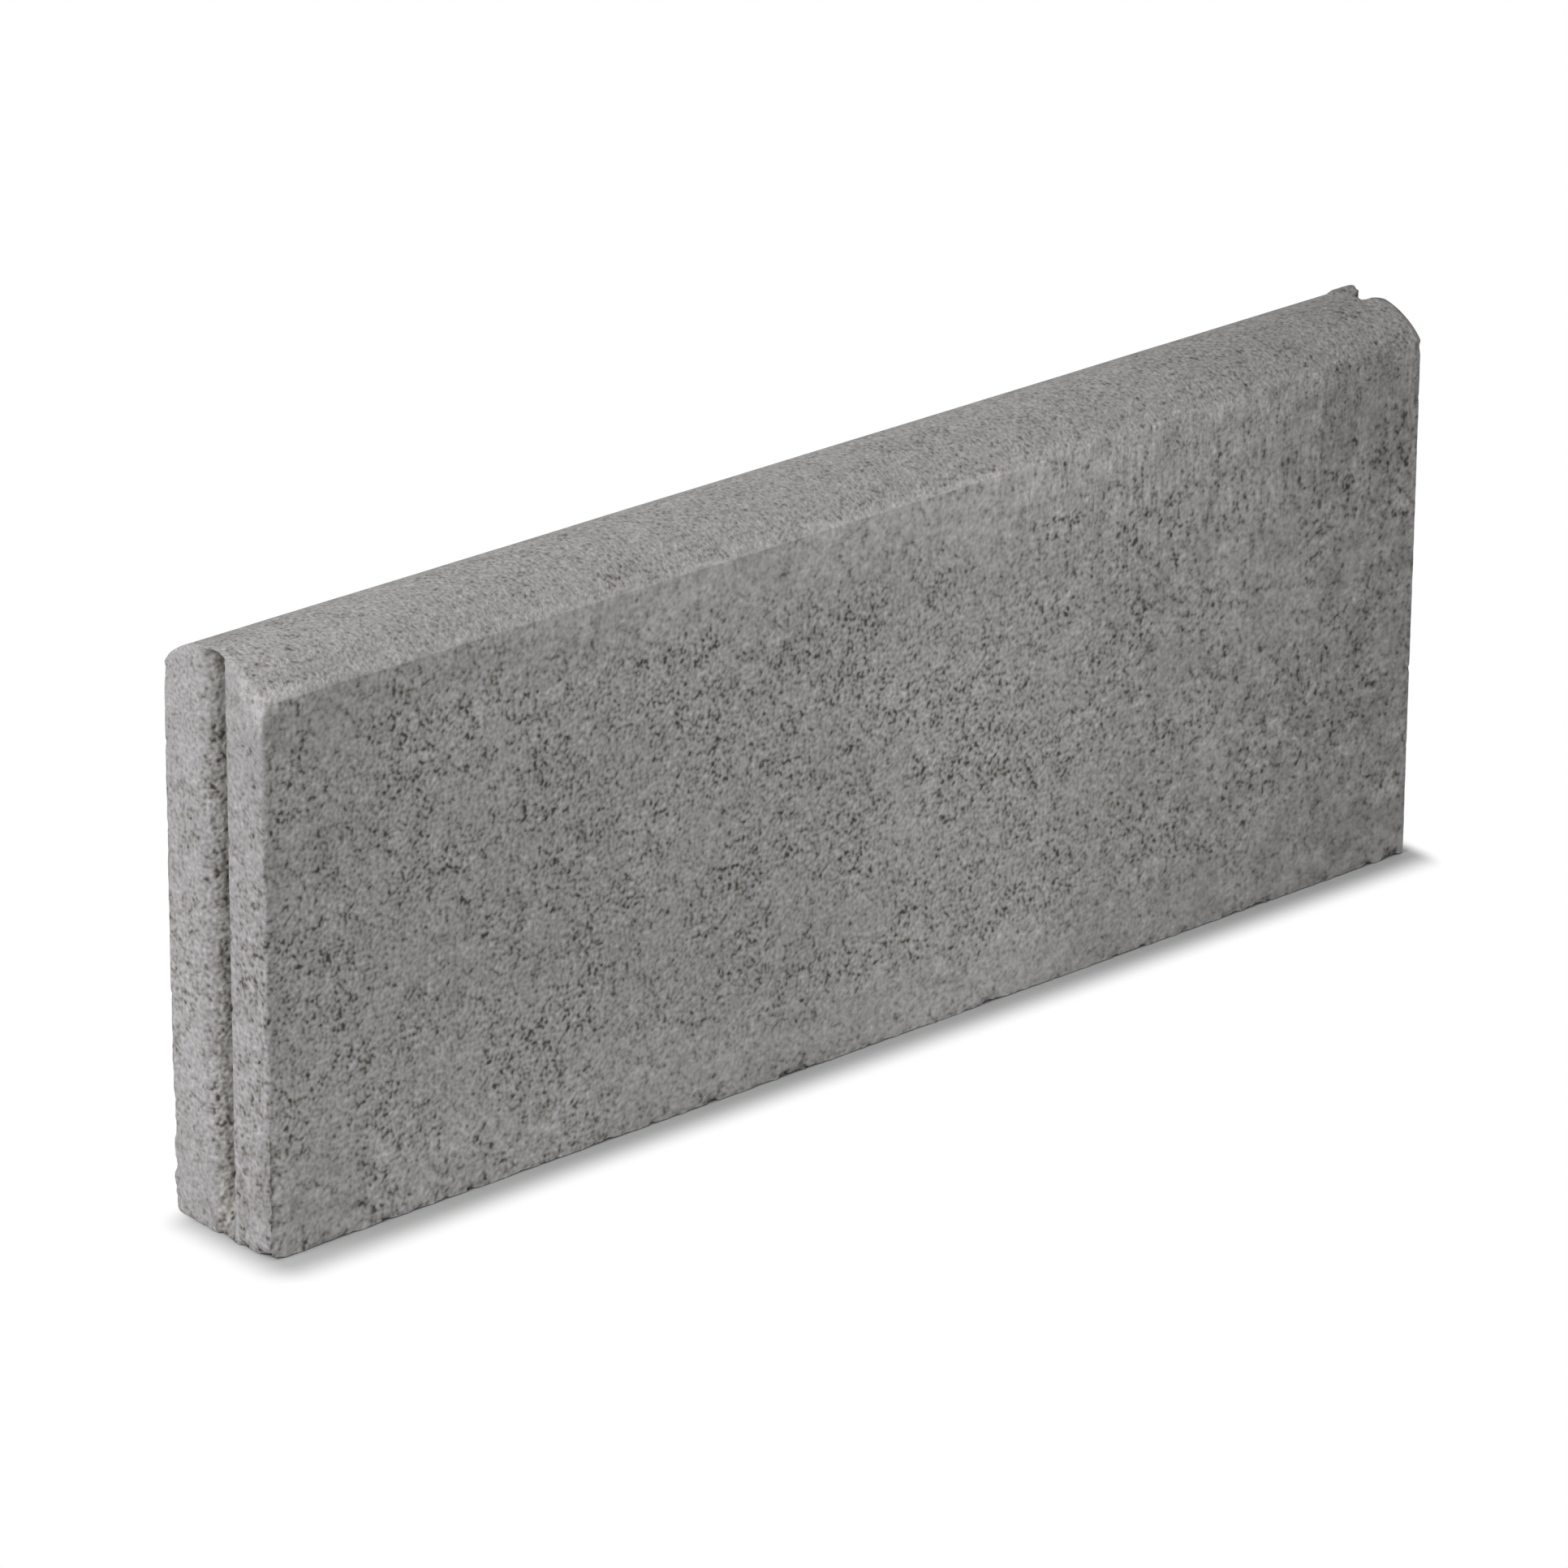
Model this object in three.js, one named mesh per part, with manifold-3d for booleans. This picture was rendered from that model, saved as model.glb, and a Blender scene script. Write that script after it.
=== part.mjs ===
// Concrete edging kerb, cast in one piece: an upright slab with a crowned top and a vertical
// groove down the middle of each end.
//
// Millimetres, +Z up. The origin is the middle of the foot. The length runs along X and the two
// faces look to -Y and +Y.

import * as THREE from 'three';
import { mergeVertices } from 'three/addons/utils/BufferGeometryUtils.js';
import Module from 'manifold-3d';

// Overall size.
const LENGTH = 500;
const HEIGHT = 200; // foot to the top of the crown
const THICKNESS = 50;

// Crown: the top of an ellipse that is wider than the stone, so it meets each face at an arris.
const CROWN_RISE = 11.5; // arris to the top of the crown
const CROWN_OVERRUN = 4; // how far the ellipse would run on past each face

// Upright corners between the faces and the ends.
const CORNER_RADIUS = 2;

// Key groove in each end, from the foot to the crown.
const GROOVE_WIDTH = 16;
const GROOVE_DEPTH = 8;
const GROOVE_LIP_RADIUS = 5;
const GROOVE_FLOOR_RADIUS = 1;

// Segments in each curve of the section and in each arc of the plan.
const CROWN_SEGMENTS = 64;
const ARC_SEGMENTS = 12;

const concrete = new THREE.MeshStandardMaterial({
  color: 0x8b8987,
  roughness: 0.95,
  metalness: 0,
});

const wasm = await Module();
wasm.setup();

// A closed three.js geometry as a solid that can be cut and joined.
function toSolid(geometry) {
  geometry.deleteAttribute('normal');
  geometry.deleteAttribute('uv');
  const merged = mergeVertices(geometry);
  return new wasm.Manifold(
    new wasm.Mesh({
      numProp: 3,
      vertProperties: merged.attributes.position.array,
      triVerts: Uint32Array.from(merged.index.array),
    }),
  );
}

function toGeometry(solid) {
  const mesh = solid.getMesh();
  const geometry = new THREE.BufferGeometry();
  geometry.setAttribute('position', new THREE.BufferAttribute(mesh.vertProperties, 3));
  geometry.setIndex(new THREE.BufferAttribute(mesh.triVerts, 1));
  geometry.computeVertexNormals();
  return geometry;
}

// three.js divides an arc into twice its curveSegments.
function extrude(shape, depth, segments) {
  return new THREE.ExtrudeGeometry(shape, {
    depth,
    curveSegments: segments / 2,
    bevelEnabled: false,
  });
}

// The stone seen from above: a rectangle with rounded corners and a grooved end at each side.
// The second end is the first one turned by half a turn. Straight runs join the arcs.
function planShape() {
  const end = LENGTH / 2;
  const face = THICKNESS / 2;
  const mouth = GROOVE_WIDTH / 2;
  // The two radii of a groove never take up more than its depth and half its width.
  const lip = Math.min(GROOVE_LIP_RADIUS, 0.75 * GROOVE_DEPTH, 0.35 * GROOVE_WIDTH);
  const floor = Math.min(GROOVE_FLOOR_RADIUS, 0.2 * GROOVE_DEPTH, 0.1 * GROOVE_WIDTH);
  const floorX = end - GROOVE_DEPTH + floor;
  const floorY = mouth - lip - floor;
  const quarter = Math.PI / 2;

  const shape = new THREE.Shape();
  for (const side of [1, -1]) {
    const turn = side > 0 ? 0 : Math.PI;
    const arc = (x, y, radius, from, to) =>
      shape.absarc(side * x, side * y, radius, turn + from, turn + to, from > to);
    arc(end - CORNER_RADIUS, CORNER_RADIUS - face, CORNER_RADIUS, -quarter, 0);
    arc(end - lip, -mouth, lip, 0, quarter);
    arc(floorX, -floorY, floor, -quarter, -2 * quarter);
    arc(floorX, floorY, floor, 2 * quarter, quarter);
    arc(end - lip, mouth, lip, -quarter, 0);
    arc(end - CORNER_RADIUS, face - CORNER_RADIUS, CORNER_RADIUS, 0, quarter);
  }
  shape.closePath();
  return shape;
}

// The section across the length, wider than the stone: flat foot, upright sides, elliptical top.
function sectionShape() {
  const face = THICKNESS / 2;
  const halfSpan = face + CROWN_OVERRUN;
  const halfHeight = CROWN_RISE / (1 - Math.sqrt(1 - (face / halfSpan) ** 2));
  const shape = new THREE.Shape();
  shape.moveTo(-halfSpan, 0);
  shape.lineTo(halfSpan, 0);
  shape.absellipse(0, HEIGHT - halfHeight, halfSpan, halfHeight, 0, Math.PI);
  shape.closePath();
  return shape;
}

// The kerb is what the plan, drawn upright, and the section, drawn along the length, share. Each
// one runs past the other at its two ends.
function kerbStone() {
  const past = THICKNESS;
  const plan = extrude(planShape(), HEIGHT + 2 * past, ARC_SEGMENTS);
  plan.translate(0, 0, -past);

  const section = extrude(sectionShape(), LENGTH + 2 * past, CROWN_SEGMENTS);
  section.translate(0, 0, -LENGTH / 2 - past);
  const acrossY = new THREE.Vector3(0, 1, 0);
  const upZ = new THREE.Vector3(0, 0, 1);
  const alongX = new THREE.Vector3(1, 0, 0);
  section.applyMatrix4(new THREE.Matrix4().makeBasis(acrossY, upZ, alongX));

  return toGeometry(toSolid(plan).intersect(toSolid(section)));
}

const kerb = new THREE.Mesh(kerbStone(), concrete);
kerb.name = 'kerb_stone';

const group = new THREE.Group();
group.add(kerb);

export default group;
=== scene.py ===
import math

import bpy
import numpy as np
from mathutils import Matrix, Vector
from mathutils.geometry import delaunay_2d_cdt


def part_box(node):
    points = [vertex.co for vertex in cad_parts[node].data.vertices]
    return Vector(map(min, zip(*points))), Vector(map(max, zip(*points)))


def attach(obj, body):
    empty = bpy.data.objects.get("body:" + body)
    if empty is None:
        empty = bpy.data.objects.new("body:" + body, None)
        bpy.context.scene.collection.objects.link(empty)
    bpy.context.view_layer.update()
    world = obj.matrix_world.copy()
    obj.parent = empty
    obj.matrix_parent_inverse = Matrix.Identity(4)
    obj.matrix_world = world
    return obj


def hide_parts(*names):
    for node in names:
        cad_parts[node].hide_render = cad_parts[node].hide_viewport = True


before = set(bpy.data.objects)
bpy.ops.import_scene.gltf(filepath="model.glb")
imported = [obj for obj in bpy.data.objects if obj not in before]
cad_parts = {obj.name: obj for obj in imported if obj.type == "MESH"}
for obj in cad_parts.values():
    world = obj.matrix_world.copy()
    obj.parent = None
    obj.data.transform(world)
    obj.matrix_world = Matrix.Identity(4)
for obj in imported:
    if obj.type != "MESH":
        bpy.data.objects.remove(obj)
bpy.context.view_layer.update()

MM = 0.001

# The near end is the one at -X, the front the face at -Y. Left and right are as seen facing it.

# The camera: where the photograph was taken from, fitted to the stone's straight edges.
IMAGE_SIDE = 1932  # pixels
VIEW_AZIMUTH = math.radians(41.387)  # from the front face's normal towards the -X end
VIEW_ELEVATION = math.radians(22.939)
VIEW_ROLL = math.radians(-0.381)
VIEW_DISTANCE = 2.952  # metres, along the optical axis to the stone's middle
FOCAL_LENGTH = 11093  # pixels
STONE_MIDDLE = (1009.2, 919.6)  # where the stone's middle is in the image, in pixels
SENSOR_WIDTH = 36.0  # millimetres

# The light: an even pale surround and one large soft lamp at the near end.
SURROUND = 0.70  # the strength with which it lights the stone
LAMP_DIRECTION = (-0.78, -0.06, 0.60)
LAMP_DISTANCE = 2.2  # metres
LAMP_SIZE = 1.2  # metres
LAMP_WATTS = 35

# The floor, and the distances from the stone between which it fades to white, in millimetres.
FLOOR_HALF_SIDE = 4.0  # metres
FLOOR_LIGHTING = (0.8, 0.8, 0.8, 1)  # its colour as it lights the stone
FLOOR_PAINTED_SHADOW = (0.45, 0.45, 0.45, 1)  # its darker colour as the camera sees it at the foot, a painted shadow
FADE_START = 1.5
FADE_END = 18.0

# The stone in millimetres: its box from the CAD node, the rest as in the CAD.
BOX_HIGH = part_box("kerb_stone")[1]
HALF_LENGTH = BOX_HIGH.x / MM
HALF_THICKNESS = BOX_HIGH.y / MM
HEIGHT = BOX_HIGH.z / MM
CROWN_RISE = 11.5
CROWN_OVERRUN = 4
CORNER_RADIUS = 1.0  # a little crisper than in the CAD
GROOVE_HALF_WIDTH = 8
GROOVE_DEPTH = 8
GROOVE_LIP_RADIUS = 5
GROOVE_FLOOR_RADIUS = 1

# Distances between mesh points, in millimetres.
COARSER = 1
FRONT_STEP = 1.35 * COARSER
END_STEP = 1.0 * COARSER
BACK_STEP = 4.6 * COARSER
EDGE_STEP = 0.7 * COARSER
ROW_STEP = 1.6 * COARSER
FOOT_STEP = 8

# Where the stone is chipped, how far each chip reaches along each axis, and how deep it is.
CHIPS = (
    ((-250, 25, 187), (5, 6, 12), 0.5),
    ((-219, -25, 188.5), (3.2, 2.5, 2.5), 0.8),
    ((-250, -25, 0), (8, 6, 5), 0.9),
    ((-248.5, -25, 36), (4, 3, 3), 1.2),
    ((-247, -25, 30), (4, 3, 3.5), 1.4),
    ((-248.5, -25, 24), (4, 3, 3), 1.5),
    ((-248, -25, 17.5), (5, 3, 3), 1.7),
    ((-246, -25, 12), (4, 3, 3), 1.2),
    ((-249, -24.5, 176), (3, 2, 3), 0.5),
    ((250, -25, 187), (2.5, 3, 3), 0.6),
)
BURR_HEIGHT = 1.3  # beside the far groove

# The sizes of what the material is made of, in millimetres.
PATCH_SIZE = 8
STONE_SIZE = 6.5
COARSE_GRAIN = 2.7
FINE_GRAIN = 1.45
SAND_GRAIN = 1.3
DRAG_LINE = 1.6
GRIT = 0.5

# The concrete's screen level, 0 to 255, by how tightly it is packed. The dark low levels
# are partly the gaps' own colour and partly painted shade in them.
PACKED_LEVELS = (
    (0.20, 62), (0.28, 90), (0.36, 118), (0.44, 134), (0.52, 143), (0.64, 155), (0.80, 174)
)
SANDY_TINT = (1.0, 0.988, 1.0, 1)
END_TINT = (0.995, 1.0, 1.015, 1)
GROOVE_TINT = (1.0, 0.985, 0.96, 1)
TONE_STRENGTH = 0.10  # how much one unit of tone changes the colour's value


# ---------------------------------------------------------------- noise, in millimetres

def hashed(ix, iy, iz, seed):
    """A repeatable random number from 0 to 1 for each lattice point."""
    h = (ix * 374761393 + iy * 668265263 + iz * 1440662683 + seed * 974634777) & 0xFFFFFFFF
    h = ((h ^ (h >> 13)) * 1274126177) & 0xFFFFFFFF
    h = ((h ^ (h >> 16)) * 2246822519) & 0xFFFFFFFF
    return (h ^ (h >> 15)) / 0xFFFFFFFF


def value_noise(points, period, seed):
    """Smooth noise from -1 to 1 whose bumps are about a period apart."""
    p = points / period + seed * 17.31
    cell = np.floor(p).astype(np.int64)
    t = p - cell
    t = t * t * t * (t * (t * 6 - 15) + 10)
    total = np.zeros(len(p))
    for dx in (0, 1):
        for dy in (0, 1):
            for dz in (0, 1):
                weight = (
                    (t[:, 0] if dx else 1 - t[:, 0])
                    * (t[:, 1] if dy else 1 - t[:, 1])
                    * (t[:, 2] if dz else 1 - t[:, 2])
                )
                total += weight * hashed(cell[:, 0] + dx, cell[:, 1] + dy, cell[:, 2] + dz, seed)
    return 2 * total - 1


def fractal_noise(points, period, octaves, seed):
    """Value noise with finer, weaker noise on top of it."""
    total, weights = np.zeros(len(points)), 0.0
    for octave in range(octaves):
        weight = 0.5**octave
        total += weight * value_noise(points, period / 2**octave, seed + 31 * octave)
        weights += weight
    return total / weights


def ramp(x, low, high):
    """0 below low, 1 above high, smooth between. Low may be above high."""
    t = np.clip((x - low) / (high - low), 0, 1)
    return t * t * (3 - 2 * t)


def bell(x, width):
    """1 at 0, falling off smoothly to both sides."""
    return np.exp(-((x / width) ** 2))


def around(points, centre, size):
    """1 at a place, falling smoothly to 0 at a distance of one size, given along each axis."""
    return ramp(np.linalg.norm((points - centre) / size, axis=1), 1, 0)


# ---------------------------------------------------------------- the stone's even form

def crown_height(y):
    """The height of the crowned top at a distance from the middle plane."""
    half_span = HALF_THICKNESS + CROWN_OVERRUN
    half_height = CROWN_RISE / (1 - math.sqrt(1 - (HALF_THICKNESS / half_span) ** 2))
    return HEIGHT - half_height * (1 - np.sqrt(1 - (y / half_span) ** 2))


def arc(centre, radius, start, end):
    """Points on an arc, with its angles in degrees."""
    angles = np.radians(np.linspace(start, end, 60))
    x, y = centre[0] + radius * np.cos(angles), centre[1] + radius * np.sin(angles)
    return np.stack([x, y], axis=1)


def half_end():
    """The +X end's outline in plan, from the front corner to the middle of the groove."""
    corner = (HALF_LENGTH - CORNER_RADIUS, -HALF_THICKNESS + CORNER_RADIUS)
    lip = (HALF_LENGTH - GROOVE_LIP_RADIUS, -GROOVE_HALF_WIDTH)
    floor_corner = (
        HALF_LENGTH - GROOVE_DEPTH + GROOVE_FLOOR_RADIUS,
        -GROOVE_HALF_WIDTH + GROOVE_LIP_RADIUS + GROOVE_FLOOR_RADIUS,
    )
    return np.concatenate([
        arc(corner, CORNER_RADIUS, -90, 0),
        arc(lip, GROOVE_LIP_RADIUS, 0, 90),
        arc(floor_corner, GROOVE_FLOOR_RADIUS, 270, 180),
        [(HALF_LENGTH - GROOVE_DEPTH, 0)],
    ])


def spread(path, step):
    """Points along a path, closer together where step, a function of points, is small."""
    fine = [path[:1]]
    for a, b in zip(path[:-1], path[1:]):
        count = max(1, int(np.linalg.norm(b - a) / 0.1))
        fine.append(a + (b - a) * np.linspace(0, 1, count + 1)[1:, None])
    fine = np.concatenate(fine)
    lengths = np.linalg.norm(np.diff(fine, axis=0), axis=1)
    steps = np.concatenate([[0], np.cumsum(lengths / step((fine[1:] + fine[:-1]) / 2))])
    even = np.linspace(0, steps[-1], int(np.ceil(steps[-1])) + 1)
    return np.stack([np.interp(even, steps, fine[:, k]) for k in range(fine.shape[1])], axis=1)


def lean_in(ring):
    """The outline with its grooves' back sides eased at the lip and leaning in towards the floor,
    and their front sides set further out."""
    x, y = ring.T
    deep = np.where(np.abs(y) < GROOVE_HALF_WIDTH, HALF_LENGTH - np.abs(x), 0)
    eased = 0.45 * bell(y - 5.8, 1.5)
    back_side = 0.28 * np.clip(deep - 3, 0, 5)
    front_side = np.where(x < 0, 1.3, 0.4) * ramp(deep, 0, 1.2)
    return np.stack([x - np.sign(x) * eased, y - np.where(y > 0, back_side, front_side)], axis=1)


def plan_outline():
    """The stone's outline in plan, anticlockwise, as a closed ring of points."""
    quarter = half_end()
    end = np.concatenate([quarter, quarter[-2::-1] * (1, -1)])
    ring = lean_in(np.concatenate([end, -end, end[:1]]))

    def step(p):
        x, y = p.T
        from_end = HALF_LENGTH - np.abs(x)
        # The near groove is finer than the rest of the ends, and the far end coarser but for
        # its burr.
        far = np.where((x > 0) & (y < 6), 1.5, 1.0)
        end_step = END_STEP * np.where((x < 0) & (np.abs(y) < 9.5), 0.65, far)
        face_step = np.where(y < 0, FRONT_STEP, BACK_STEP)
        at_end = (from_end < 6) | (np.abs(y) < GROOVE_HALF_WIDTH)
        off_corner = (from_end > CORNER_RADIUS) | (np.abs(y) < HALF_THICKNESS - CORNER_RADIUS)
        return np.where(off_corner, np.where(at_end, end_step, face_step), EDGE_STEP)

    return spread(ring, step)[:-1]


def wall_rows():
    """Heights of the wall's rows of points, as shares of the wall's height."""
    def step(p):
        from_edge = np.minimum(np.maximum(p[:, 0] - 9, 0), HEIGHT - p[:, 0])
        return EDGE_STEP + (ROW_STEP - EDGE_STEP) * np.clip(from_edge / 6, 0, 1)

    return spread(np.array([(0.0, 0.0), (HEIGHT, 0.0)]), step)[:, 0] / HEIGHT


def inside(points, ring, clearance):
    """The points that lie inside a ring and at least a clearance from its points."""
    kept = np.abs(points[:, 1]) < HALF_THICKNESS - clearance
    kept &= np.abs(points[:, 0]) < HALF_LENGTH - clearance
    # Only the ends, where the grooves are, need the full test.
    end_ring = ring[np.abs(ring[:, 0]) > HALF_LENGTH - 12]
    at_end = np.nonzero(kept & (np.abs(points[:, 0]) > HALF_LENGTH - 10))[0]
    p = points[at_end]
    a, b = ring, np.roll(ring, -1, axis=0)
    across = (a[:, 1] > p[:, 1:]) != (b[:, 1] > p[:, 1:])
    with np.errstate(divide="ignore", invalid="ignore"):
        crossing = a[:, 0] + (p[:, 1:] - a[:, 1]) / (b[:, 1] - a[:, 1]) * (b[:, 0] - a[:, 0])
    odd = (across & (p[:, :1] < crossing)).sum(axis=1) % 2 == 1
    gap = np.linalg.norm(p[:, None] - end_ring[None], axis=2).min(axis=1)
    kept[at_end] = odd & (gap > clearance)
    return points[kept]


def cap(ring, across, step):
    """Points inside a ring, in rows at the given distances across, and the triangles over both."""
    rows = []
    for k, y in enumerate(across):
        start = -HALF_LENGTH + step * (0.5 if k % 2 else 1)
        x = np.arange(start, HALF_LENGTH, step)
        rows.append(np.stack([x, np.full(len(x), y)], axis=1))
    inner = inside(np.concatenate(rows), ring, 0.9 * FRONT_STEP)
    points = [Vector(p) for p in np.concatenate([ring, inner])]
    count = len(ring)
    edges = [(i, (i + 1) % count) for i in range(count)]
    _, _, triangles, origins, _, _ = delaunay_2d_cdt(points, edges, [], 1, 1e-6)
    return inner, [[origins[i][0] for i in t] for t in triangles]


def fill_height(points):
    """How high the grooves' feet are filled with crumbs, more towards the back."""
    ragged = 0.5 * fractal_noise(points, 3.5, 2, seed=43)
    return 1.5 + 2.0 * np.clip(points[:, 1] - 2.6, 0, 6) + ragged


def groove_recess(points, recess):
    """The depth of the end grooves. The near one runs out below the crown, and both are part
    filled with crumbs at the foot."""
    x, y, z = points.T
    ragged = fractal_noise(points, 5, 2, seed=41)
    down = crown_height(y) - z
    skin = np.where(x < 0, 0.10 * np.clip(y + 2, 0, 8) + 0.6 * ragged, -4)
    top = 0.06 + 0.94 * ramp(down - skin, 0.0, 2.2)
    over_fill = z - fill_height(points)
    foot = 0.05 + 0.25 * ramp(over_fill, 0, 1.0) + 0.70 * ramp(over_fill, 1, 11)
    crumbs = ramp(fractal_noise(points, 3.6, 2, seed=42), -0.5, 0.5) - 0.3
    deep = recess * top * foot
    return deep - 0.8 * crumbs * ramp(deep, 2, 6)


def even_form():
    """The stone as the CAD has it but for its grooves and its crisper corners, with points dense
    enough to be worn and pitted. Also gives whether each point is on the crown, 1, on its border,
    0.5, or off it, 0, and its depth in an open groove."""
    ring = plan_outline()
    rows = wall_rows()
    count = len(ring)
    top = crown_height(ring[:, 1])
    wall = np.concatenate([np.column_stack([ring, top * t]) for t in rows])
    recess = HALF_LENGTH - np.abs(wall[:, 0])
    in_groove = np.abs(wall[:, 1]) < HALF_THICKNESS - CORNER_RADIUS
    opened = np.sign(wall[:, 0]) * (HALF_LENGTH - groove_recess(wall, recess))
    wall[in_groove, 0] = opened[in_groove]
    faces = []
    for a in range(0, (len(rows) - 1) * count, count):
        for i in range(count):
            n = (i + 1) % count
            faces.append((a + i, a + n, a + count + n, a + count + i))

    # The crown's points are even along its curve, not across it.
    y = np.linspace(-HALF_THICKNESS, HALF_THICKNESS, 400)
    curve = np.column_stack([y, crown_height(y)])
    across = spread(curve, lambda p: np.full(len(p), FRONT_STEP))[1:-1, 0]
    last_row = (len(rows) - 1) * count
    inner, triangles = cap(wall[last_row:, :2], across, FRONT_STEP)
    crown = np.column_stack([inner, crown_height(inner[:, 1])])
    base = len(wall)
    faces += [[last_row + i if i < count else base + i - count for i in t] for t in triangles]

    across = np.arange(-HALF_THICKNESS + FOOT_STEP, HALF_THICKNESS - 1, FOOT_STEP)
    inner, triangles = cap(wall[:count, :2], across, FOOT_STEP)
    foot = np.column_stack([inner, np.zeros(len(inner))])
    base += len(crown)
    faces += [[i if i < count else base + i - count for i in reversed(t)] for t in triangles]

    points = np.concatenate([wall, crown, foot])
    on_crown = np.zeros(len(points))
    on_crown[len(wall):base] = 1
    on_crown[last_row:len(wall)] = 0.5
    sunk = np.zeros(len(points))
    sunk[:len(wall)] = recess * in_groove
    return points, faces, on_crown, sunk


# ---------------------------------------------------------------- the cast surface

def edge_wear(points):
    """How far the edges are worn back, in millimetres."""
    x, y, z = points.T
    from_end = HALF_LENGTH - np.abs(x)
    from_face = HALF_THICKNESS - np.abs(y)
    down = crown_height(y) - z
    uneven = np.clip(1 + 1.6 * fractal_noise(points, 4, 3, seed=51), 0.0, 2.2)

    # The arris is crisp on the left and dies away towards the right.
    soft = ramp(x, 60, 230) * ramp(from_end, 0, 8)
    arris = (0.12 + 0.50 * soft) * bell(np.hypot(from_face, down), 0.9 + 3.3 * soft)
    # The upright corners are ragged at the near end, more so towards the foot.
    near_end = x < 0
    bites = ramp(fractal_noise(points, 8, 3, seed=52), -0.1, 0.5) * ramp(z, 182, 160)
    ragged = (0.4 * bites * ramp(z, 60, 130) + ramp(z, 80, 20)) * near_end
    depth = 0.06 + 0.06 * near_end + 0.58 * ragged
    upright = depth * bell(np.hypot(from_face, from_end), 1.4 + 1.6 * ragged)
    foot = 0.40 * bell(np.hypot(np.minimum(from_face, from_end), z), 1.8)
    return (arris + upright + foot) * uneven


def round_ends(points):
    """Rounds where the ends meet the crown and the foot, most at the near front corners."""
    y = points[:, 1]
    near_end = points[:, 0] < 0
    front_corner = near_end * ramp(y, -16, -24)
    top_radius = 0.2 + 0.6 * near_end + 4.6 * front_corner
    foot_radius = 0.6 + 4.5 * front_corner
    edges = ((1, crown_height(y), top_radius), (-1, np.zeros(len(y)), foot_radius))
    for up, edge_z, radius in edges:
        out = np.abs(points[:, 0]) - (HALF_LENGTH - radius)
        over = up * (points[:, 2] - edge_z) + radius
        reach = np.hypot(out, over)
        too_far = np.where((out > 0) & (over > 0), np.maximum(reach - radius, 0), 0)
        excess = too_far / np.maximum(reach, 0.01)
        points[:, 0] -= np.sign(points[:, 0]) * out * excess
        points[:, 2] -= up * over * excess


def chips(points):
    """How deep the chips are, in millimetres, and how much darker they are drawn, partly for
    their brownish broken surface and partly as painted shade in the hollow, from 0 to 1.
    """
    depth = np.zeros(len(points))
    chip_stain_and_shade = np.zeros(len(points))
    for place, size, deep in CHIPS:
        here = around(points, place, size) * (1 + 0.5 * fractal_noise(points, 3, 2, seed=61))
        depth += deep * here
        chip_stain_and_shade = np.maximum(chip_stain_and_shade, 0.8 * here * min(deep, 1))
    return depth, chip_stain_and_shade


def cavities(points, on_crown):
    """1 in the larger gaps that the sand left open, 0 elsewhere. Along the near end's upright edge
    and along the foot they are more frequent and deeper, up to 1.5."""
    x, y, z = points.T
    from_edge = np.hypot(HALF_THICKNESS + y, HALF_LENGTH + x)
    more = bell(from_edge, 4.5) * ramp(z, 175, 145) * (0.6 + 0.4 * ramp(z, 90, 30))
    more = np.maximum(more, 0.6 * ramp(z, 6, 1))
    gaps = fractal_noise(points, 4, 2, seed=25) - 0.35 * more
    return ramp(gaps, -0.30, -0.65) * (1 - on_crown) * (1 + 0.5 * more)


def relief(points, on_crown):
    """How far the surface lies below the even form, in millimetres."""
    broad = 0.06 * (1 + fractal_noise(points, 45, 2, seed=21))
    lumps = 0.07 * (1 + fractal_noise(points, 6, 2, seed=22)) * (1 - 0.6 * on_crown)
    return broad + lumps + 0.5 * cavities(points, on_crown)


# ---------------------------------------------------------------- what the material is told

def on_front(points):
    return points[:, 1] < -HALF_THICKNESS + 1


def sandiness(points, on_crown):
    """How much of the crown's fine, even sand is in the skin, from 0 to 1. It is dragged down over
    the front face on the right, and the ends have some of it."""
    x, y, z = points.T
    waver = 9 * fractal_noise(points * (1, 1, 0.3), 12, 2, seed=81)
    drag = ramp(x, 30, 130) * ramp(z + waver, 160, 182)
    at_end = ramp(HALF_LENGTH - np.abs(x), 1.5, 0)
    even = 0.2 + 0.3 * (y > 0) + 0.4 * ramp(z, 150, 180)
    return np.maximum.reduce([on_crown, 0.85 * drag * on_front(points), even * at_end])


def openness(points, sunk):
    """How open the skin is, from 0 where it is closed by paste to 1."""
    x, _, z = points.T
    from_end = HALF_LENGTH - np.abs(x)
    front = on_front(points)
    porous = 0.25 + 0.60 * ramp(fractal_noise(points, 17, 3, seed=23), -0.6, 0.5)
    porous *= 1 - 0.7 * front * ramp(z, 34, 10) * ramp(x, -130, -60)
    porous *= 1 - 0.8 * front * ramp(z, 160, 182) * ramp(x, -170, -120) * ramp(x, 110, 40)
    porous *= 1 - 0.7 * ramp(from_end, 1.5, 0) * ramp(z, 140, 175)
    return np.maximum(porous, 0.85 * ramp(sunk, 1.0, 4.0))


def mottling(points):
    """How far the grain is broader and softer, from 0 to 1: on the right, at the foot and at the
    top. The front face is also mottled there."""
    x, _, z = points.T
    return np.maximum.reduce([ramp(x, 60, 180), 0.6 * ramp(z, 40, 20), 0.7 * ramp(z, 160, 175)])


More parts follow.
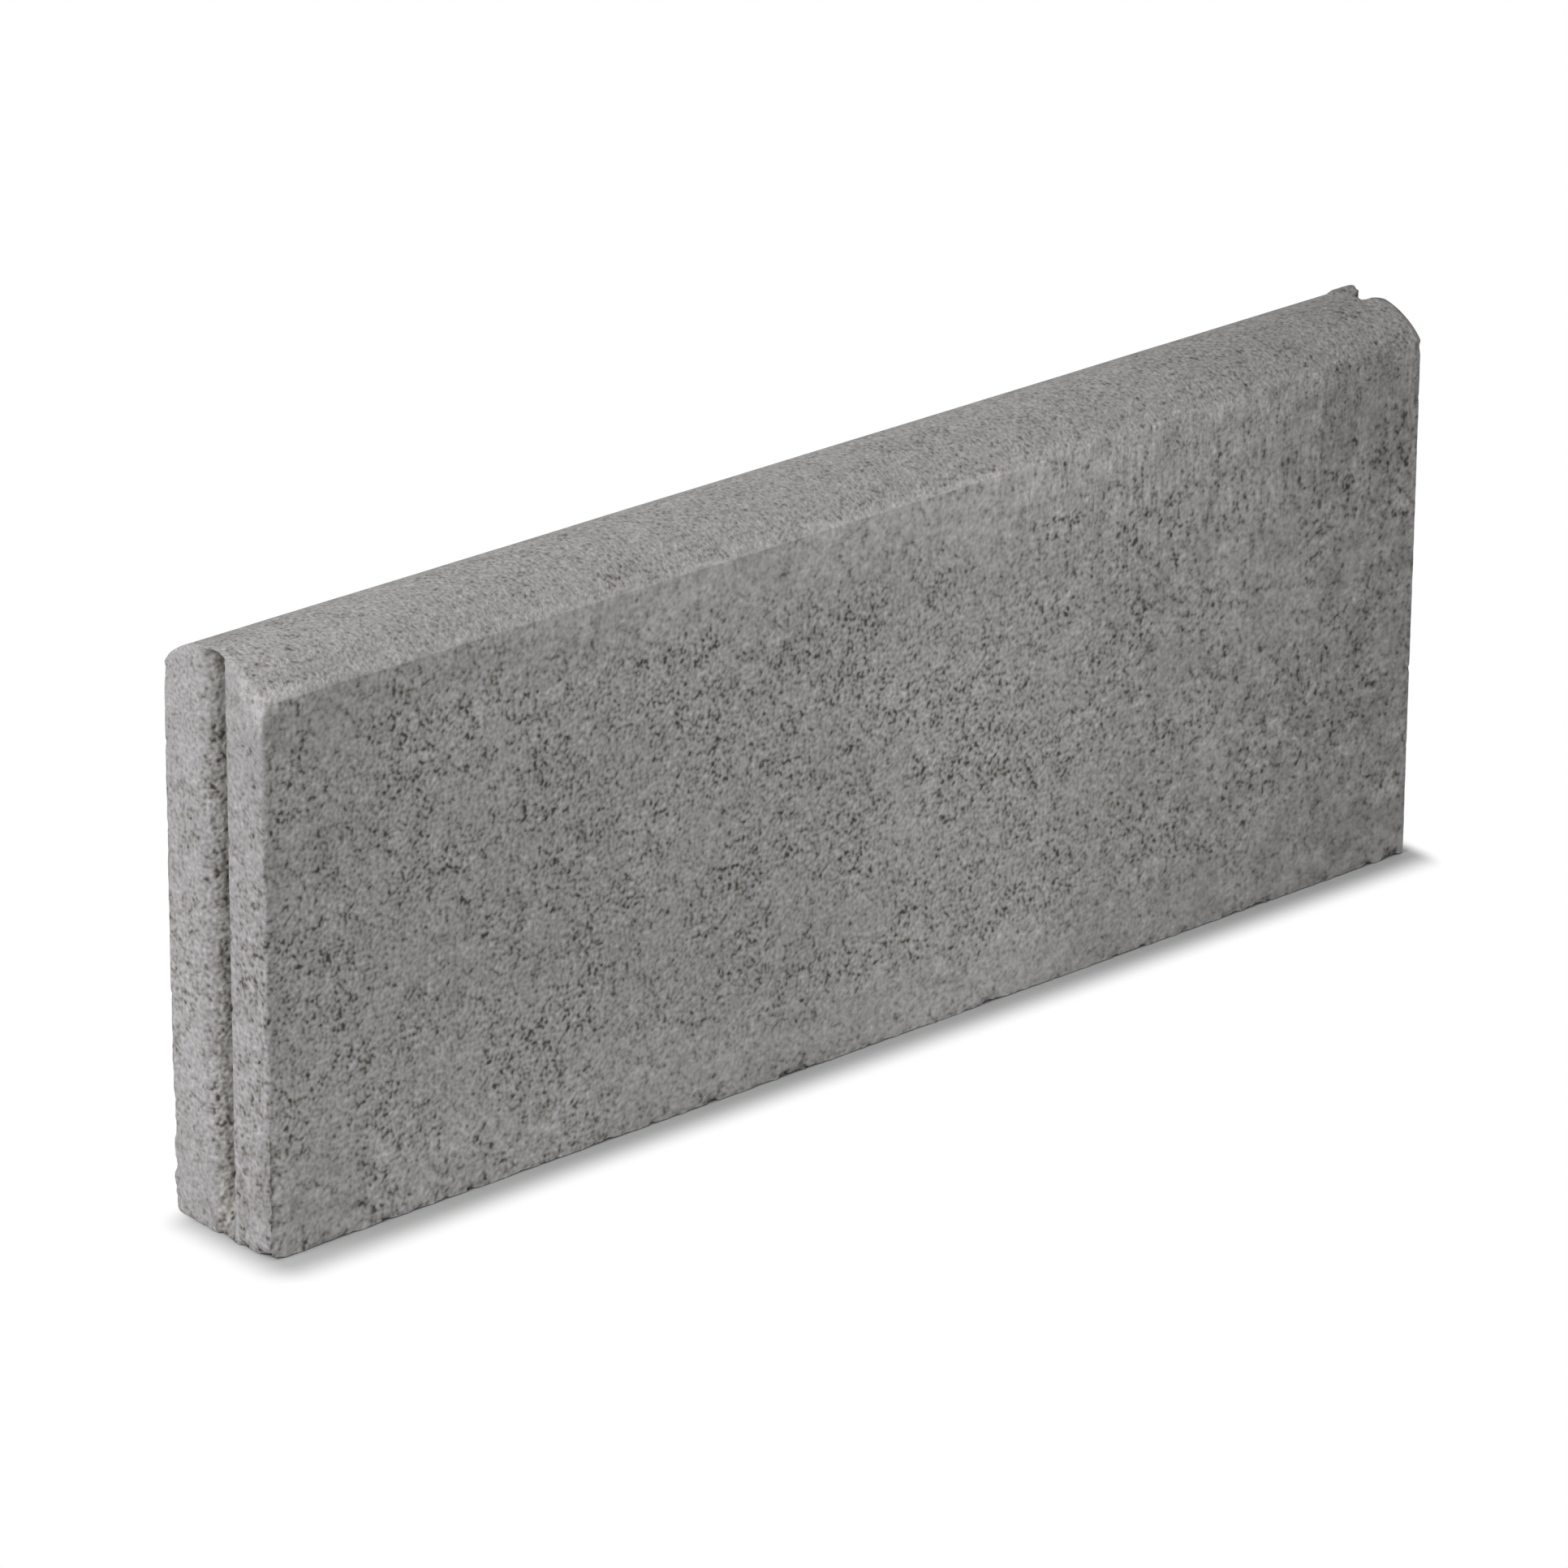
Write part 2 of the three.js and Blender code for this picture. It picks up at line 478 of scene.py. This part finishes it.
def front_tone(points, down, below_arris):
    """The front face: pale below the crown and along the foot, a pale middle, dark ends, with
    painted shade under the arris and at the near top corner and a painted highlight on that corner.
    """
    x, y, z = points.T
    tone = 0.35 + (0.7 + 1.5 * mottling(points)) * fractal_noise(points, 7, 2, seed=72)
    # Below the crown, palest where its skin is dragged down. A thin painted shadow line under
    # the arris ends in the middle.
    tone += 0.9 * ramp(z, 155, 180) * ramp(x, -190, -60) * ramp(x, 200, 140)
    tone += 1.4 * around(points, (75, -25, 178), (100, 30, 45))
    tone += 0.8 * ramp(down, 16, 8) * ramp(x, -60, 0) * ramp(x, 160, 110)
    tone += 0.8 * ramp(down, 9, 4) * ramp(x, 140, 180)
    tone -= 0.9 * below_arris * bell(down, 1.6) * ramp(x, 60, 0) * ramp(x, -240, -225)
    # The middle and the foot.
    tone += 1.3 * ramp(x, -30, 30) * ramp(x, 140, 60) * ramp(z, 165, 130)
    tone += 1.1 * ramp(z, 45, 15) * ramp(x, -225, -190) * ramp(x, 120, 60)
    # The left and the right.
    tone -= 0.9 * ramp(x, -60, -150) * ramp(z, 45, 75) * ramp(z, 160, 130)
    tone -= 1.5 * around(points, (-230, -25, 168), (75, 30, 55))
    tone -= 0.6 * around(points, (-240, -25, 20), (40, 30, 50))
    tone -= (1.5 + 0.6 * ramp(z, 60, 150)) * ramp(x, 150, 225)
    # Darker along the near upright edge, with painted shade in a patch below a painted highlight on
    # the top corner.
    tone -= (0.8 - 0.4 * ramp(z, 60, 30)) * ramp(x, -243, -248)
    off_corner = y < -HALF_THICKNESS + 0.8
    tone -= 2.0 * off_corner * around(points, (-247, -25, 181), (11, 9, 9))
    tone += 2.2 * below_arris * ramp(x, -240, -244) * ramp(down, 6, 3.5)
    return tone


def crown_tone(points):
    """The crown: darker towards the far end, over its front half and at its near back corner."""
    x, y, _ = points.T
    tone = (0.3 + 0.9 * ramp(x, 50, 200)) * fractal_noise(points, 7, 2, seed=74) - 0.05
    tone -= 0.4 * ramp(y, 8, -4) * ramp(x, -200, -130)
    tone -= 0.5 * ramp(y, 0, 8) * ramp(x, -190, -230)
    tone -= 1.8 * ramp(x, 80, 240)
    return tone


def rim_tone(points):
    """The crown's pale rim along both faces, and a painted highlight on its near corner."""
    x, y, _ = points.T
    from_face = HALF_THICKNESS - np.abs(y)
    broad = (0.5 * ramp(x, -130, -70) + 0.35 * ramp(x, 0, 60)) * bell(from_face, 9)
    line = 0.8 * bell(from_face - 1.8, 1.4)
    specks = 0.7 * ramp(value_noise(points, 2.2, 73), 0.1, 0.7) * bell(from_face, 1.4)
    # A painted highlight where the crown rounds over at the near end.
    corner = ramp(x, -226, -238) * (0.5 * ramp(y, 2, -4) + 1.6 * bell(from_face - 1.5, 1.8))
    return (broad + line + specks) * (1 - 0.6 * ramp(x, 120, 200)) + corner


def end_edge_tone(points, down):
    """The end faces: darker at the top's front half. The near one has painted shade beside the
    front face, deeper towards the foot, and a painted highlight along the crown."""
    x, y, z = points.T
    near_end = x < 0
    tone = -0.4 * ramp(y, 0, -8) * ramp(z, 130, 150)
    # Painted shade where the near end meets the front corner, and painted highlights along the
    # crown's edge.
    tone -= near_end * (0.5 + 0.6 * ramp(z, 60, 30)) * ramp(y, -17, -23) * ramp(z, 180, 160)
    tone += near_end * 1.4 * bell(down, 1.6) * ramp(y, -6, -11)
    tone += near_end * 2.6 * ramp(y, -12, -16) * ramp(down, 11, 7) * ramp(down, 0.4, 1.4)
    return tone * ramp(HALF_LENGTH - np.abs(x), 1.0, 0)


def near_groove_tone(points, sunk):
    """The near groove: painted shade in its depth, at the front of its foot and in a crease where
    the crumbs fill it; darker at the top, and pale towards the foot."""
    x, y, z = points.T
    tone = 0.4 + (1.0 + ramp(z, 30, 20)) * ramp(z, 60, 40) * ramp(z, 4, 12)
    tone -= ramp(z, 160, 170) * ramp(z, 182, 176)
    # Painted shade beside the front lip at the foot, deep in the groove, and in the crease above
    # the crumbs.
    tone -= 1.8 * ramp(y, 1.5, -1) * ramp(z, 16, 10)
    tone -= 0.9 * ramp(sunk, 5.8, 7.2) * ramp(z, 20, 50)
    crease = bell(z - fill_height(points) + 0.2, 1.3) * (HALF_LENGTH - np.abs(x) < 9)
    crease *= ramp(y, -1, 1) * ramp(y, 9.5, 8.5) * ramp(z, 18, 15)
    return (x < 0) * (tone * ramp(sunk, 1, 3) - 3.4 * crease)


def broad_tone(points, on_crown, sunk):
    """Slow changes in how pale the concrete is drawn, mostly from -2 to 3, with 0 for no change:
    its own tone, and in places painted shade and painted highlights.
    """
    _, y, z = points.T
    down = crown_height(y) - z
    front = on_front(points)
    tone = 0.4 * fractal_noise(points, 60, 3, seed=71)
    tone += front * front_tone(points, down, on_crown == 0)
    # The ends and the back: paler towards the back and the foot.
    elsewhere = 0.4 * ramp(y, -15, 15) + 0.5 * ramp(z, 120, 60) - 0.65
    tone += (1 - front) * (1 - on_crown) * elsewhere
    tone += on_crown * crown_tone(points) + (on_crown > 0) * rim_tone(points)
    return tone + end_edge_tone(points, down) + near_groove_tone(points, sunk)


# ---------------------------------------------------------------- the stone

def cast_stone():
    points, faces, on_crown, sunk = even_form()
    x, y, z = points.T
    mesh = bpy.data.meshes.new("kerb_stone_cast")
    mesh.from_pydata((points * MM).tolist(), [], faces)
    mesh.update()
    normals = np.empty(len(points) * 3, np.float32)
    mesh.vertices.foreach_get("normal", normals)
    normals = normals.reshape(-1, 3).astype(float)

    chip_depth, chip_stain_and_shade = chips(points)
    depth = relief(points, on_crown) + edge_wear(points) + chip_depth
    shaped = points.copy()
    round_ends(shaped)
    shaped -= normals * depth[:, None]
    # A burr stands up along the groove's back edge at the far end of the crown.
    burr = ramp(x, 239, 241.5) * ramp(np.abs(y - 9.8), 2.6, 1.2) * (on_crown > 0)
    shaped[:, 2] += BURR_HEIGHT * burr
    lowest = (-HALF_LENGTH, -HALF_THICKNESS, 0)
    highest = (HALF_LENGTH, HALF_THICKNESS, HEIGHT)
    shaped = np.clip(shaped, lowest, highest)
    mesh.vertices.foreach_set("co", (shaped * MM).astype(np.float32).ravel())

    values = {
        "porous": openness(points, sunk),
        "fineness": sandiness(points, on_crown),
        "tone": broad_tone(points, on_crown, sunk),
        "end": ramp(HALF_LENGTH - np.abs(x), 3, 1) * (on_crown == 0),
        "groove": ramp(sunk, 1.5, 4),
        # Chips on the front face are drawn darker: their brownish surface and painted shade in the
        # hollow.
        "cavity": np.maximum(cavities(points, on_crown), chip_stain_and_shade * ramp(y, -22, -24)),
        "mottled": mottling(points),
        "dragged": ramp(x, 0, 120) * ramp(z, 110, 165) * on_front(points),
    }
    for name, value in values.items():
        attribute = mesh.attributes.new(name, "FLOAT", "POINT")
        attribute.data.foreach_set("value", value.astype(np.float32))
    mesh.update()
    mesh.shade_smooth()

    # Each arris is a sharp edge up to where it begins to die away.
    ends = np.empty(len(mesh.edges) * 2, np.int64)
    mesh.edges.foreach_get("vertices", ends)
    arris = (on_crown == 0.5) & (x < 60) & (np.abs(y) > HALF_THICKNESS - 0.5)
    crisp = arris[ends.reshape(-1, 2)].all(axis=1)
    mesh.attributes.new("sharp_edge", "BOOLEAN", "EDGE").data.foreach_set("value", crisp)
    obj = bpy.data.objects.new("kerb_stone_cast", mesh)
    bpy.context.scene.collection.objects.link(obj)
    return obj


# ---------------------------------------------------------------- materials

class Nodes:
    """Short calls for building a node tree. Lengths are in millimetres."""

    def __init__(self, material):
        material.use_nodes = True
        self.tree = material.node_tree
        self.tree.nodes.clear()

    def add(self, kind, inputs=None, **settings):
        node = self.tree.nodes.new(kind)
        for key, value in settings.items():
            setattr(node, key, value)
        for key, value in (inputs or {}).items():
            if isinstance(value, bpy.types.NodeSocket):
                self.tree.links.new(value, node.inputs[key])
            else:
                node.inputs[key].default_value = value
        return node

    def place(self):
        """The object's own coordinates, in millimetres."""
        where = self.add("ShaderNodeTexCoord").outputs["Object"]
        return self.vector_math("SCALE", {0: where, "Scale": 1 / MM})

    def seen(self):
        """1 for what the camera sees, itself or in a reflection, 0 for what lights the scene."""
        rays = self.add("ShaderNodeLightPath").outputs
        mirrored = self.math("MAXIMUM", rays["Is Glossy Ray"], rays["Is Transmission Ray"])
        return self.math("MAXIMUM", rays["Is Camera Ray"], mirrored)

    def noise(self, place, period, detail=2.0, roughness=0.5, output="Fac"):
        inputs = {"Vector": place, "Scale": 1 / period, "Detail": detail, "Roughness": roughness}
        return self.add("ShaderNodeTexNoise", inputs).outputs[output]

    def centred_noise(self, place, period, detail=2.0, roughness=0.5):
        return self.math("SUBTRACT", self.noise(place, period, detail, roughness), 0.5)

    def attribute(self, name):
        node = self.add("ShaderNodeAttribute", attribute_type="GEOMETRY", attribute_name=name)
        return node.outputs["Fac"]

    def math(self, operation, a, b=0.0, c=0.0):
        return self.add("ShaderNodeMath", {0: a, 1: b, 2: c}, operation=operation).outputs[0]

    def vector_math(self, operation, inputs):
        return self.add("ShaderNodeVectorMath", inputs, operation=operation).outputs[0]

    def scaled(self, a, by, plus=0.0):
        return self.math("MULTIPLY_ADD", a, by, plus)

    def ramp(self, value, low, high, to_low=0.0, to_high=1.0):
        inputs = {"Value": value, "From Min": low, "From Max": high}
        inputs |= {"To Min": to_low, "To Max": to_high}
        node = self.add("ShaderNodeMapRange", inputs, interpolation_type="SMOOTHSTEP")
        return node.outputs["Result"]

    def mix(self, factor, a, b, **settings):
        node = self.add("ShaderNodeMix", {0: factor, 6: a, 7: b}, data_type="RGBA", **settings)
        return node.outputs[2]

    def tint(self, colour, factor, by):
        return self.mix(factor, colour, by, blend_type="MULTIPLY")


def grey(level, warmth=0.0):
    """A grey from its screen level, 0 to 255, with a little warmth."""
    def linear(v):
        v /= 255
        return v / 12.92 if v <= 0.04045 else ((v + 0.055) / 1.055) ** 2.4
    return (linear(level + warmth), linear(level), linear(level - 1.5 * warmth), 1.0)


def sand_packing(n, place, patches, mottled):
    """How tightly the sand is packed, around 0: low in the gaps between grains, which open up
    where the face is porous and along the borders of the larger stones. Low packing is drawn
    dark, partly as the gaps' own colour and partly as painted shade in them."""
    porous = n.attribute("porous")
    coarse = n.centred_noise(place, COARSE_GRAIN, 1)
    fine = n.centred_noise(place, FINE_GRAIN, 0)
    bend = n.noise(place, 4, output="Color")
    bent = n.vector_math("MULTIPLY_ADD", {0: bend, 1: (3, 3, 3), 2: place})
    cells = {"Vector": bent, "Scale": 1 / STONE_SIZE}
    stones = n.add("ShaderNodeTexVoronoi", cells, feature="DISTANCE_TO_EDGE")
    border = n.ramp(stones.outputs["Distance"], 0.12, 0.0, 0.0, 0.06)

    packed = n.math("MULTIPLY", patches, 0.30)
    packed = n.scaled(coarse, n.scaled(mottled, 0.14, 0.52), packed)
    packed = n.scaled(fine, n.scaled(mottled, -0.20, 0.58), packed)
    packed = n.math("SUBTRACT", packed, border)
    packed = n.math("MULTIPLY", packed, n.scaled(porous, 0.6, 0.65))
    packed = n.scaled(porous, -0.04, packed)
    # Cavities and chips are drawn darker, partly their own colour and partly painted shade in the
    # hollows.
    packed = n.scaled(n.attribute("cavity"), -0.10, packed)
    return n.scaled(n.centred_noise(place, GRIT, 1, 0.6), 0.16, packed)


def concrete():
    material = bpy.data.materials.new("cast_concrete")
    n = Nodes(material)
    place = n.place()
    fineness = n.attribute("fineness")
    mottled = n.attribute("mottled")
    end = n.attribute("end")
    patches = n.centred_noise(place, PATCH_SIZE)
    packed = sand_packing(n, place, patches, mottled)

    # The crown is a fine, even sand. Where it is dragged down it is drawn out in upright lines.
    sand = n.centred_noise(place, SAND_GRAIN, 1)
    sandy = n.scaled(sand, n.scaled(mottled, 0.17, 0.60), n.math("MULTIPLY", packed, 0.38))
    sandy = n.scaled(patches, 0.10, sandy)
    blend = n.math("MULTIPLY", fineness, n.math("SUBTRACT", sandy, packed))
    packed = n.math("ADD", n.math("ADD", packed, blend), 0.52)
    drawn = n.vector_math("MULTIPLY", {0: place, 1: (1, 1, 0.18)})
    lines = n.math("MULTIPLY", n.centred_noise(drawn, DRAG_LINE, 1), n.attribute("dragged"))
    packed = n.scaled(lines, 0.45, packed)

    levels = n.add("ShaderNodeValToRGB", {0: packed})
    stops = levels.color_ramp.elements
    stops[0].position, stops[-1].position = PACKED_LEVELS[0][0], PACKED_LEVELS[-1][0]
    for at, _ in PACKED_LEVELS[1:-1]:
        stops.new(at)
    for stop, (_, level) in zip(stops, PACKED_LEVELS):
        stop.color = grey(level, 1.2 if level > 120 else 2.5)
    # The tone holds the concrete's own paleness and, in places, painted shade and painted
    # highlights.
    value = n.scaled(n.attribute("tone"), TONE_STRENGTH, 1.0)
    toned = {"Color": levels.outputs["Color"], "Value": value}
    colour = n.add("ShaderNodeHueSaturation", toned).outputs[0]
    colour = n.tint(colour, n.math("MAXIMUM", end, fineness), SANDY_TINT)
    colour = n.tint(colour, end, END_TINT)
    colour = n.tint(colour, n.attribute("groove"), GROOVE_TINT)

    height = n.math("MULTIPLY", packed, 0.8)
    bump = n.add("ShaderNodeBump", {"Distance": MM, "Height": height}).outputs["Normal"]
    surface = {"Base Color": colour, "Roughness": 0.93, "Specular IOR Level": 0.25, "Normal": bump}
    shader = n.add("ShaderNodeBsdfPrincipled", surface)
    n.add("ShaderNodeOutputMaterial", {"Surface": shader.outputs[0]})
    return material


def floor_material():
    """Pale where it lights the stone. As it is seen it is a darker grey at the foot, a painted
    shadow over the real one, and fades to white away from it."""
    material = bpy.data.materials.new("white_floor")
    n = Nodes(material)
    seen = n.seen()
    axes = n.add("ShaderNodeSeparateXYZ", {0: n.place()}).outputs

    # Distance on the floor from the foot's outline, over which the painted shadow fades. At the
    # near end and the back it starts inside the outline, and at the far end and the back it counts
    # for more, so that the shadow reaches furthest in front, and most at the near corner.
    def beyond(axis, limit, weight):
        past = n.math("MAXIMUM", n.math("SUBTRACT", axis, limit), 0.0)
        return n.math("MULTIPLY", past, weight)

    leftward, forward = (n.math("MULTIPLY", axis, -1.0) for axis in (axes[0], axes[1]))
    forward = n.math("SUBTRACT", forward, n.ramp(leftward, 120.0, 230.0, 0.0, 2.0))
    near_end = beyond(leftward, HALF_LENGTH - 5.4, 0.98)
    far_end = beyond(axes[0], HALF_LENGTH, 2.0)
    front = beyond(forward, HALF_THICKNESS, 1.0)
    back = beyond(axes[1], HALF_THICKNESS - 12, 1.2)
    out_x = n.math("ADD", near_end, far_end)
    out_y = n.math("ADD", front, back)
    away = n.math("SQRT", n.scaled(out_x, out_x, n.math("MULTIPLY", out_y, out_y)))
    fade = n.math("MULTIPLY", n.ramp(away, FADE_START, FADE_END), seen)
    # As seen, the floor is a darker grey near the foot: a painted shadow.
    lit = n.add("ShaderNodeBsdfDiffuse", {"Color": n.mix(seen, FLOOR_LIGHTING, FLOOR_PAINTED_SHADOW)})
    white = n.add("ShaderNodeEmission", {"Color": (1, 1, 1, 1), "Strength": 1.0})
    surface = n.add("ShaderNodeMixShader", {0: fade, 1: lit.outputs[0], 2: white.outputs[0]})
    n.add("ShaderNodeOutputMaterial", {"Surface": surface.outputs[0]})
    return material


# ---------------------------------------------------------------- studio

def floor():
    half = FLOOR_HALF_SIDE
    corners = [(-half, -half, 0), (half, -half, 0), (half, half, 0), (-half, half, 0)]
    mesh = bpy.data.meshes.new("floor")
    mesh.from_pydata(corners, [], [(0, 1, 2, 3)])
    obj = bpy.data.objects.new("floor", mesh)
    obj.data.materials.append(floor_material())
    bpy.context.scene.collection.objects.link(obj)


def surround():
    """An even pale world. The camera sees it white."""
    sky = bpy.data.worlds.new("studio")
    n = Nodes(sky)
    strength = n.ramp(n.seen(), 0.0, 1.0, SURROUND, 1.0)
    shade = n.add("ShaderNodeBackground", {"Color": (1, 1, 1, 1), "Strength": strength}).outputs[0]
    n.add("ShaderNodeOutputWorld", {"Surface": shade})
    bpy.context.scene.world = sky


def lamp():
    light = bpy.data.lights.new("key", "AREA")
    light.shape = "DISK"
    light.size = LAMP_SIZE
    light.energy = LAMP_WATTS
    obj = bpy.data.objects.new("key", light)
    direction = Vector(LAMP_DIRECTION).normalized()
    obj.location = Vector((0, 0, HEIGHT * MM / 2)) + direction * LAMP_DISTANCE
    obj.rotation_euler = (-direction).to_track_quat("-Z", "Y").to_euler()
    bpy.context.scene.collection.objects.link(obj)


def camera():
    a, e, r = VIEW_AZIMUTH, VIEW_ELEVATION, VIEW_ROLL
    forward = Vector((math.sin(a) * math.cos(e), math.cos(a) * math.cos(e), -math.sin(e)))
    level = Vector((math.cos(a), -math.sin(a), 0))
    below = forward.cross(level)
    right = level * math.cos(r) + below * math.sin(r)
    down = below * math.cos(r) - level * math.sin(r)
    aside = (STONE_MIDDLE[0] - IMAGE_SIDE / 2) / FOCAL_LENGTH
    lower = (STONE_MIDDLE[1] - IMAGE_SIDE / 2) / FOCAL_LENGTH
    middle = Vector((0, 0, HEIGHT * MM / 2))
    data = bpy.data.cameras.new("camera")
    data.sensor_width = SENSOR_WIDTH
    data.lens = SENSOR_WIDTH * FOCAL_LENGTH / IMAGE_SIDE
    data.clip_start, data.clip_end = 0.1, 20.0
    obj = bpy.data.objects.new("camera", data)
    place = middle - (right * aside + down * lower + forward) * VIEW_DISTANCE
    axes = Matrix((right, -down, -forward)).transposed()
    obj.matrix_world = Matrix.Translation(place) @ axes.to_4x4()
    bpy.context.scene.collection.objects.link(obj)
    bpy.context.scene.camera = obj


stone = cast_stone()
stone.data.materials.append(concrete())
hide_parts("kerb_stone")
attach(stone, "root")

camera()
floor()
surround()
lamp()
bpy.context.scene.view_settings.view_transform = "Standard"
